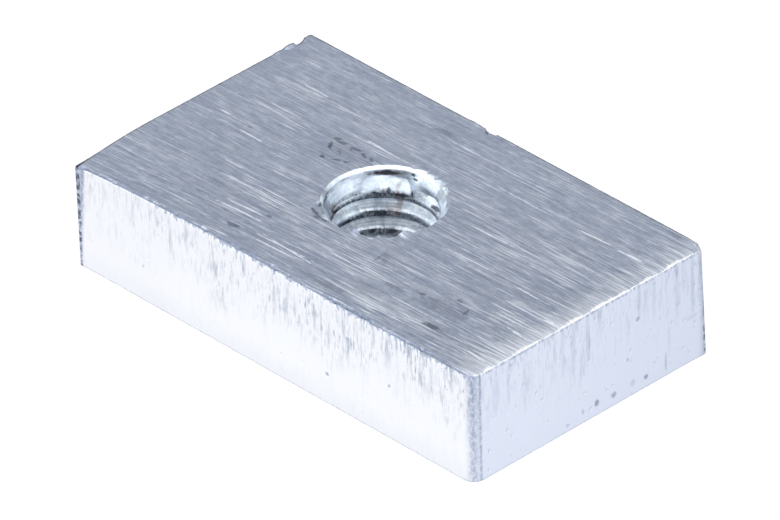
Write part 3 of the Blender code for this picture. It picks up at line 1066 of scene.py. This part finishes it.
def drawn_finish(settings, groups, half_size):
    """Drawn aluminium bar: bright, with upright marks and pits that start at the upper sawn edge."""
    material, n, shader, place = new_metal("drawn_side", 0.42)
    x, y, z = n.split(place)
    thickness = half_size[2] * 2
    marks = n.group(groups["linear_marks"], **{
        "Vector": scaled(n, place, 0.23, 0.23, 1.25), "Light Above": 0.5, "Dark Above": 0.52})
    fine = n.group(groups["linear_marks"], **{
        "Vector": scaled(n, place, 0.10, 0.10, 0.55, (7, 7, 1)), "Light Above": 0.5, "Dark Above": 0.53})
    cloud = n.noise(scaled(n, place, 2.4, 2.4, 3.0), 1.0, 3.0, 0.55)
    clusters = n.noise(scaled(n, place, 1.1, 1.1, 2.2, (5, 3, 0)), 1.0, 2.0, 0.5)
    pits = n.group(groups["pitting"], **{
        "Vector": scaled(n, place, 0.38, 0.38, 0.5), "Amount": 0.22, "Size": 0.26})["Mask"]

    # Marks run down from the upper edge and end unevenly; the long faces have more of them.
    reach = n.total(n.math("SUBTRACT", thickness, z), n.product(n.math("SUBTRACT", cloud, 0.5), 5))
    high = n.product(n.ramp(reach, 0.4, 3.6, 1.0, 0.06), n.ramp(clusters, 0.35, 0.62, 0.40, 1.25))
    at_end = n.ramp(n.math("ABSOLUTE", x), half_size[0] - 0.4, half_size[0] - 0.05)
    below = n.math("SUBTRACT", thickness, z)
    hanging = n.math("MAXIMUM", n.ramp(below, 0.1, 0.8, 0.35, 1.0), n.ramp(x, 2.0, 6.0))
    calm_left = n.ramp(x, -10.0, -5.0, 0.65, 1.0)
    amount = n.product(high, hanging, n.math("MAXIMUM", calm_left, at_end), n.ramp(at_end, 0, 1, 1.0, 0.5))

    colour = n.mix(n.ramp(z, thickness, 0.2, 0.08, 0.0), settings.drawn, settings.drawn_dark)
    colour = n.mix(n.product(n.ramp(z, 1.3, 0.2), 0.09), colour, settings.drawn_dark)
    end_colour = n.mix(n.ramp(y, -4.0, half_size[1], 0.0, 0.16), settings.end, settings.drawn_dark)
    colour = n.mix(at_end, colour, end_colour)
    colour = n.mix(n.product(marks["Dark"], amount, 0.68), colour, settings.drawn_dark)
    colour = n.mix(n.product(fine["Dark"], amount, 0.85), colour, settings.drawn_dark)
    colour = n.mix(n.product(pits, high, n.ramp(at_end, 0, 1, 0.60, 0.20)), colour, settings.drawn_dark)

    # The dressed corners are speckled and painted grey, most of all the rounded one at the front right; the grey is
    # painted shade that stands for the dark part of the room they reflect, and a painted dark line runs up the front
    # right corner.
    speckle = n.ramp(n.noise(scaled(n, place, 0.11, 0.11, 0.20), 1.0, 3.0, 0.7), 0.38, 0.58, 0.40, 1.25)
    corner = n.group(groups["corner_nearness"], **{
        "Vector": place, "Half Size": (half_size[0], half_size[1], 0), "Reach": 0.62})["Mask"]
    fade = n.ramp(z, 0, thickness, 0.75, 1.1)
    taper = n.ramp(z, 0.5, thickness, 0.16, 0.55)
    from_left = n.math("MAXIMUM", n.total(x, half_size[0]), n.total(y, half_size[1]))
    left = n.ramp(n.math("SUBTRACT", from_left, taper), -0.08, 0.08, 1.0, 0.0)
    right = n.math("GREATER_THAN", x, 0.0)
    dressed_and_shaded = n.math("MAXIMUM", n.product(left, 0.75), n.product(corner, right))
    colour = n.mix(n.product(dressed_and_shaded, speckle, fade), colour, settings.drawn_dark)
    line_x = n.math("ABSOLUTE", n.total(n.math("SUBTRACT", x, half_size[0]), 0.02))
    line_y = n.math("ABSOLUTE", n.total(y, half_size[1] - 0.50))
    line = n.product(n.ramp(n.math("MAXIMUM", line_x, line_y), 0.03, 0.09, 1.0, 0.0), speckle, fade, 0.8)
    colour = n.mix(line, colour, settings.drawn_dark)

    # The torn upper edge is painted the grey of the sawn face, partly for the torn metal and partly as painted shade
    # on its upward-facing bites, and painted shadow makes a dark line under the burr on the end faces.
    tatters = n.noise(scaled(n, place, 0.16, 0.16, 0.6), 1.0, 4.0, 0.7)
    torn = n.ramp(n.math("SUBTRACT", below, n.ramp(tatters, 0.46, 0.75, 0.0, 0.45)), 0.0, 0.05, 1.0, 0.0)
    torn = n.product(torn, n.math("SUBTRACT", 1.0, at_end), 0.80)
    colour = n.mix(torn, colour, settings.sawn)
    burr_shadow = n.product(n.ramp(below, 0.20, 0.12), n.ramp(tatters, 0.45, 0.58), at_end, 0.75)
    colour = n.mix(burr_shadow, colour, settings.drawn_dark)
    # Painted shade makes a broken dark line at the foot of the sides.
    painted_foot_shade = n.product(n.ramp(z, 0.08, 0.03), n.ramp(tatters, 0.4, 0.6, 0.3, 1.0), 0.8)
    colour = n.mix(painted_foot_shade, colour, settings.drawn_dark)
    # Dotted painted shadow lines run up the front left and the back right corners.
    dots = n.ramp(n.noise(scaled(n, place, 0.5, 0.5, 0.22, (2, 2, 2)), 1.0, 2.0, 0.6), 0.46, 0.54)
    left_line = n.ramp(n.total(x, y, half_size[0] + half_size[1]), 0.16, 0.11)
    right_line = n.ramp(n.math("SUBTRACT", half_size[0] + half_size[1], n.total(x, y)), 0.26, 0.20)
    colour = n.mix(n.product(n.math("MAXIMUM", left_line, right_line), dots, 0.8), colour, settings.bore_dark)
    pit_depth = 0.0
    uneven = n.product(n.math("SUBTRACT", n.noise(scaled(n, place, 0.12, 0.12, 0.2), 1.0, 2.0, 0.6), 0.5), 2)
    for centre, reach, strength in SIDE_PITS:
        mask = n.group(groups["placed_mark"], **{
            "Vector": place,
            "Centre": centre,
            "Reach": reach,
            "Uneven": uneven,
            "Break-up": 0.4,
            "Strength": strength,
        })["Mask"]
        pit_depth = n.math("MAXIMUM", mask, pit_depth)
    colour = n.mix(pit_depth, colour, settings.drawn_dark)
    n.feed(shader.inputs["Base Color"], colour)
    frayed = n.product(n.ramp(below, 0.3, 0.15, 0, 0.3), n.math("SUBTRACT", 1.0, at_end))
    rough = n.total(n.ramp(cloud, 0.3, 0.7, 0.38, 0.46), n.product(dressed_and_shaded, 0.15), frayed)
    n.feed(shader.inputs["Roughness"], rough)
    relief = n.total(n.product(marks["Height"], amount), n.product(n.total(pits, pit_depth), -1.5))
    bumped(n, shader, relief, 0.02 * MM)
    return material


CREST_GIRTH = 2.8

# Dirt in the thread, and painted shade: the broad soft mark on the mouth's rim at bearing 44 and the soft mark at
# bearing 218 stand for shade. Bearing in degrees, depth in mm, half-width in degrees, half-height in mm and strength.
THREAD_DIRT = [
    (202, 1.26, 6, 0.16, 0.95),
    (73, 1.28, 8, 0.16, 0.90),
    (181, 2.30, 9, 0.14, 0.90),
    (105, 0.42, 5, 0.07, 0.90),
    (133, 1.10, 3, 0.20, 0.85),
    (136, 0.33, 15, 0.13, 0.85),
    (108, 0.26, 3, 0.10, 0.85),
    (117, 1.28, 11, 0.12, 0.85),
    (141, 2.32, 10, 0.14, 0.80),
    (131, 3.30, 8, 0.20, 0.90),
    (150, 3.25, 5, 0.15, 0.85),
    (84, 0.02, 3, 0.08, 0.80),
    (76, 0.00, 28, 0.18, 0.36),
    (90, 0.55, 20, 0.40, 0.22),
    (66, 0.40, 9, 0.40, 0.45),
    (208, 0.10, 10, 0.22, 0.50),
    (208, 0.95, 9, 0.30, 0.35),
    (207, 1.08, 4, 0.14, 0.90),
    (218, 0.50, 12, 0.45, 0.40),
    (75, 1.45, 12, 0.28, 0.35),
    (44, 0.05, 20, 0.18, 0.55),
    (236, 0.05, 14, 0.22, 0.60),
    (227, 0.05, 4, 0.20, 0.85),
    (212, 0.28, 8, 0.07, 0.80),
    (58, 0.30, 10, 0.20, 0.30),
    (107, 1.15, 3, 0.20, 0.75),
    (62, 1.35, 4, 0.20, 0.60),
]
THREAD_OIL = [
    (123, 1.75, 4, 1.5, 0.55),
    (133, 0.32, 20, 0.18, 0.85),
    (205, 1.2, 12, 0.6, 0.50),
    (128, 2.2, 9, 0.35, 0.35),
]


def tapped_finish(settings, groups, half_size, thread):
    """Freshly tapped thread: bright flanks with tool marks, brown-black dirt in places, and painted shade deeper in
    the hole, on the crests and at places on the mouth.
    """
    material, n, shader, place = new_metal("tapped_thread", 0.45)
    x, y, z = n.split(place)
    thickness = half_size[2] * 2
    across = n.math("SUBTRACT", x, thread.offset / MM)
    # The bearing less half a turn, in mm round the crests.
    bearing = n.product(n.math("ARCTAN2", n.product(y, -1), n.product(across, -1)), CREST_GIRTH)
    chatter = n.noise(n.point(bearing, z, 0), 2.2, 3.0, 0.6)
    dirt = n.noise(n.point(bearing, n.product(z, 0.45), 4.0), 1.1, 4.0, 0.65)
    lines = n.noise(n.point(n.product(bearing, 0.4), n.product(z, 7), 0), 1.0, 2.0, 0.5)
    deep = n.ramp(n.math("SUBTRACT", thickness, z), 2.6, 5.0)
    from_axis = n.vector("LENGTH", n.point(across, y, 0), output=1)
    crest_radius = (thread.diameter - thread.pitch) / 2 / MM
    on_crest = n.ramp(n.total(from_axis, n.product(chatter, 0.08)), crest_radius + 0.06, crest_radius + 0.14, 1.0, 0.0)
    ground = n.product(n.ramp(n.math("ABSOLUTE", n.math("SUBTRACT", from_axis, 2.83)), 0.02, 0.05, 1.0, 0.0), 0.30)
    mottle = n.noise(n.point(n.product(bearing, 1.6), z, 9.0), 5.0, 3.0, 0.65)
    colour = n.mix(n.ramp(chatter, 0.4, 0.7, 0.0, 0.35), settings.bore, settings.sawn)
    depth = n.math("SUBTRACT", thickness, z)
    mottled = n.product(n.ramp(mottle, 0.45, 0.75), n.ramp(depth, 1.2, 1.6, 0.22, 0.40))
    colour = n.mix(mottled, colour, settings.sawn)
    # Deeper in the hole the thread gets painted shade, and the dirt noise there is darker too.
    colour = n.mix(n.product(n.ramp(dirt, 0.56, 0.68), n.ramp(deep, 0, 1, 0.40, 0.8)), colour, settings.bore_dark)
    colour = n.mix(n.product(deep, 0.4), colour, settings.bore_dark)
    # Painted shade and dirt darken the crests in blotches, less on the left.
    to_right = n.ramp(bearing, -5.2, -3.9, 0.35, 1.0)
    blotched = n.product(n.ramp(dirt, 0.3, 0.6, 0.5, 1.0), n.ramp(mottle, 0.38, 0.56, 0.5, 1.0))
    colour = n.mix(n.product(on_crest, to_right, blotched), colour, settings.bore_dark)
    colour = n.mix(n.product(ground, n.ramp(dirt, 0.35, 0.6, 0.3, 1.0)), colour, settings.bore_dark)
    unrolled = n.point(bearing, 0.0, z)
    uneven = n.product(n.math("SUBTRACT", n.noise(unrolled, 3.0, 3.0, 0.6), 0.5), 2)
    for marks, shade in ((THREAD_OIL, settings.bore_oil), (THREAD_DIRT, settings.bore_dark)):
        stain = 0.0
        for where, depth, half_width, half_height, strength in marks:
            mask = n.group(groups["placed_mark"], **{
                "Vector": unrolled,
                "Centre": (math.radians(where - 180) * CREST_GIRTH, 0, thickness - depth),
                "Reach": (math.radians(half_width) * CREST_GIRTH, 1, half_height),
                "Uneven": uneven,
                "Break-up": 0.8,
                "Strength": strength,
            })["Mask"]
            stain = n.math("MAXIMUM", mask, stain)
        colour = n.mix(stain, colour, shade)
    n.feed(shader.inputs["Base Color"], colour)
    n.feed(shader.inputs["Roughness"], n.ramp(chatter, 0.3, 0.7, 0.38, 0.52))
    bumped(n, shader, n.total(n.product(lines, 0.6), chatter, n.product(mottle, 0.8)), 0.020 * MM)
    return material


# Operators


class NUT_OT_sawn_block(bpy.types.Operator):
    """Make the shell of the block and the finishes of its faces"""

    bl_idname = "nut.sawn_block"
    bl_label = "Sawn Block"

    def execute(self, context):
        block, thread = context.scene.nut_block_settings, context.scene.nut_thread
        finish = context.scene.nut_finish
        half_size = (block.length / 2 / MM, block.width / 2 / MM, block.thickness / 2 / MM)
        groups = {made.name: made for made in (linear_marks(), pitting(), placed_mark(), corner_nearness())}
        sawn_finish(finish, groups, half_size)
        drawn_finish(finish, groups, half_size)
        tapped_finish(finish, groups, half_size, thread)
        new_object("shell", shell_mesh(block, thread))
        return {"FINISHED"}


class NUT_OT_tapped_hole(bpy.types.Operator):
    """Tap the hole, join its wall to the shell and roughen the edges"""

    bl_idname = "nut.tapped_hole"
    bl_label = "Tapped Hole"

    def execute(self, context):
        block, thread = context.scene.nut_block_settings, context.scene.nut_thread
        shell = bpy.data.objects.get("shell")
        if shell is None:
            raise RuntimeError("make the sawn block before its hole")
        wall = new_object("wall", bpy.data.meshes.new("wall"))
        wall.data = run_tree(wall, thread_tree(), {
            "Offset": thread.offset,
            "Diameter": thread.diameter,
            "Pitch": thread.pitch,
            "Flank Slope": thread.flank_slope,
            "Thickness": block.thickness,
            "Run-out": thread.run_out,
            "Root Wear": thread.root_wear,
            "Crest Wear": thread.crest_wear,
            "Chamfer": thread.chamfer,
            "Mouth Depth": thread.mouth_depth,
            "Opening": thread.opening,
            "Turns": math.ceil(block.thickness / thread.pitch) + 3,
            "Columns": HOLE_SEGMENTS,
            "Material": bpy.data.materials["tapped_thread"],
        })
        mesh = run_tree(shell, wear_tree(), {
            "Hole": wall,
            "Offset": thread.offset,
            "Burr Height": block.burr_height,
            "Bite Depth": block.bite_depth,
            "Tear": thread.tear,
            "Edge Seed": float(block.seed),
            "Thread Seed": float(thread.seed),
            "Sawn": bpy.data.materials["sawn_face"],
            "Drawn": bpy.data.materials["drawn_side"],
        })
        points = np.empty((len(mesh.vertices), 3), np.float32)
        mesh.vertices.foreach_get("co", points.ravel())
        cut_nicks(points, block)
        chip_mouth(points, block, thread)
        bend_corners(points, block)
        mesh.vertices.foreach_set("co", points.ravel())
        bm = bmesh.new()
        bm.from_mesh(mesh)
        bmesh.ops.recalc_face_normals(bm, faces=bm.faces)
        open_edges = [edge for edge in bm.edges if not edge.is_manifold]
        bm.to_mesh(mesh)
        bm.free()
        if open_edges:
            raise RuntimeError(f"the nut's mesh has {len(open_edges)} open edges")
        mesh.shade_smooth()
        mesh.set_sharp_from_angle(angle=math.radians(32))
        bpy.data.objects.remove(shell)
        bpy.data.objects.remove(wall)
        mesh.name = "block_nut"
        nut = new_object("block_nut", mesh)
        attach(nut, "root")
        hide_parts(NODE)
        return {"FINISHED"}


def floor_material(colour, covered):
    """A pale floor that shows white to the camera and in reflections, and keeps the nut's shadow."""
    material = bpy.data.materials.new("floor")
    material.use_nodes = True
    n = Nodes(material.node_tree)
    shader = material.node_tree.nodes["Principled BSDF"]
    shader.inputs["Base Color"].default_value = rgba(colour)
    shader.inputs["Roughness"].default_value = 0.9
    shader.inputs["Specular IOR Level"].default_value = 0.0
    white = n.add("ShaderNodeEmission", (1, 1, 1, 1), 1.0)
    path = n.add("ShaderNodeLightPath").outputs
    seen = n.math("MAXIMUM", path["Is Camera Ray"], n.math("MAXIMUM", path["Is Glossy Ray"], path["Is Transmission Ray"]))
    # Under the nut, which shows through its hole, the floor has only the light that reaches it.
    x, y, _ = n.split(n.add("ShaderNodeTexCoord").outputs["Object"])
    past_x = n.math("SUBTRACT", n.math("ABSOLUTE", x), covered[0])
    past_y = n.math("SUBTRACT", n.math("ABSOLUTE", y), covered[1])
    clear = n.ramp(n.math("MAXIMUM", past_x, past_y), -0.3 * MM, 0.1 * MM)
    both = n.add("ShaderNodeMixShader", n.product(seen, clear, 0.85), shader.outputs[0], white.outputs[0])
    output = material.node_tree.nodes["Material Output"]
    n.feed(output.inputs["Surface"], both.outputs[0])
    return material


def room(strength, windows, azimuth):
    """The room's light: white at the horizon, grey above it, and brighter at the camera's side."""
    world = bpy.data.worlds.new("room")
    world.use_nodes = True
    n = Nodes(world.node_tree)
    direction = n.add("ShaderNodeTexCoord").outputs["Generated"]
    _, _, up = n.split(direction)
    level = n.ramp(up, 0.03, 0.5, 1.0, strength, smooth=True)
    towards = n.vector("DOT_PRODUCT", direction, (math.sin(azimuth), -math.cos(azimuth), 0), output=1)
    lit = n.ramp(towards, -0.35, 0.15, smooth=True)
    level = n.total(n.product(level, n.math("SUBTRACT", 1.0, lit)), n.product(lit, windows))
    n.feed(world.node_tree.nodes["Background"].inputs["Strength"], level)
    world.node_tree.nodes["Background"].inputs["Color"].default_value = (1, 1, 1, 1)
    return world


def softbox(name, place, size, brightness):
    """A square lamp of this brightness that faces the nut."""
    lamp = bpy.data.lights.new(name, "AREA")
    lamp.shape = "SQUARE"
    lamp.size = size
    lamp.energy = 4 * brightness * size * size
    made = new_object(name, lamp)
    made.location = place
    made.rotation_euler = Vector(place).to_track_quat("Z", "Y").to_euler()
    return made


# Where the aimed-at point shows in the photograph, from the middle of its frame, at this many pixels to a metre.
AIM_PIXELS = (0.96, 5.92)
PIXELS_PER_METRE = 21736
AIM_HEIGHT = 3 * MM


class NUT_OT_stage(bpy.types.Operator):
    """Make the floor, the room, the lamps and the camera"""

    bl_idname = "nut.stage"
    bl_label = "Stage"

    def execute(self, context):
        stage = context.scene.nut_stage
        bm = bmesh.new()
        bmesh.ops.create_grid(bm, x_segments=1, y_segments=1, size=stage.floor_size / 2)
        mesh = bpy.data.meshes.new("floor")
        bm.to_mesh(mesh)
        bm.free()
        floor = new_object("floor", mesh)
        floor.location.z = NODE_LOW.z
        mesh.materials.append(floor_material(stage.floor_colour, (NODE_HIGH.x, NODE_HIGH.y)))
        context.scene.world = room(stage.sky, stage.windows, stage.azimuth)
        softbox("overhead", (0.0, 0.0, 1.6), 1.3, stage.overhead)
        softbox("key", (-1.3, -1.1, 0.55), 1.0, stage.key)

        camera = bpy.data.cameras.new("camera")
        camera.sensor_width = 36
        camera.lens = stage.lens
        camera.clip_end = 20
        az, el, roll = stage.azimuth, stage.elevation, stage.roll
        back = Vector((math.sin(az) * math.cos(el), -math.cos(az) * math.cos(el), math.sin(el)))
        level = Vector((math.cos(az), math.sin(az), 0))
        upright = back.cross(level)
        right = math.cos(roll) * level + math.sin(roll) * upright
        up = math.cos(roll) * upright - math.sin(roll) * level
        aim = Vector((0, 0, AIM_HEIGHT))
        aim -= (right * AIM_PIXELS[0] + up * AIM_PIXELS[1]) / PIXELS_PER_METRE
        seen_from = new_object("camera", camera)
        turn = Matrix((right, up, back)).transposed()
        seen_from.matrix_world = Matrix.LocRotScale(aim + back * stage.distance, turn, None)
        context.scene.camera = seen_from
        context.scene.view_settings.view_transform = "Standard"
        return {"FINISHED"}


class NUT_PT_panel(bpy.types.Panel):
    """Sizes, finishes and the operators that build the nut"""

    bl_idname = "NUT_PT_panel"
    bl_label = "Block Nut"
    bl_space_type = "VIEW_3D"
    bl_region_type = "UI"
    bl_category = "Block Nut"

    def draw(self, context):
        for operator, holders in PARTS:
            box = self.layout.box()
            box.operator(operator.bl_idname)
            for holder in holders:
                settings = getattr(context.scene, holder)
                for name in settings.__annotations__:
                    box.prop(settings, name)


PARTS = [
    (NUT_OT_sawn_block, ("nut_block_settings", "nut_finish")),
    (NUT_OT_tapped_hole, ("nut_thread",)),
    (NUT_OT_stage, ("nut_stage",)),
]
SETTINGS = [
    ("nut_block_settings", BlockSettings),
    ("nut_thread", ThreadSettings),
    ("nut_finish", FinishSettings),
    ("nut_stage", StageSettings),
]
CLASSES = [*[kind for _, kind in SETTINGS], *[operator for operator, _ in PARTS], NUT_PT_panel]


def register():
    for kind in CLASSES:
        bpy.utils.register_class(kind)
    for name, kind in SETTINGS:
        setattr(bpy.types.Scene, name, PointerProperty(type=kind))


def unregister():
    for name, _ in SETTINGS:
        delattr(bpy.types.Scene, name)
    for kind in reversed(CLASSES):
        bpy.utils.unregister_class(kind)


def main():
    register()
    bpy.ops.nut.sawn_block()
    bpy.ops.nut.tapped_hole()
    bpy.ops.nut.stage()


if __name__ == "__main__":
    main()
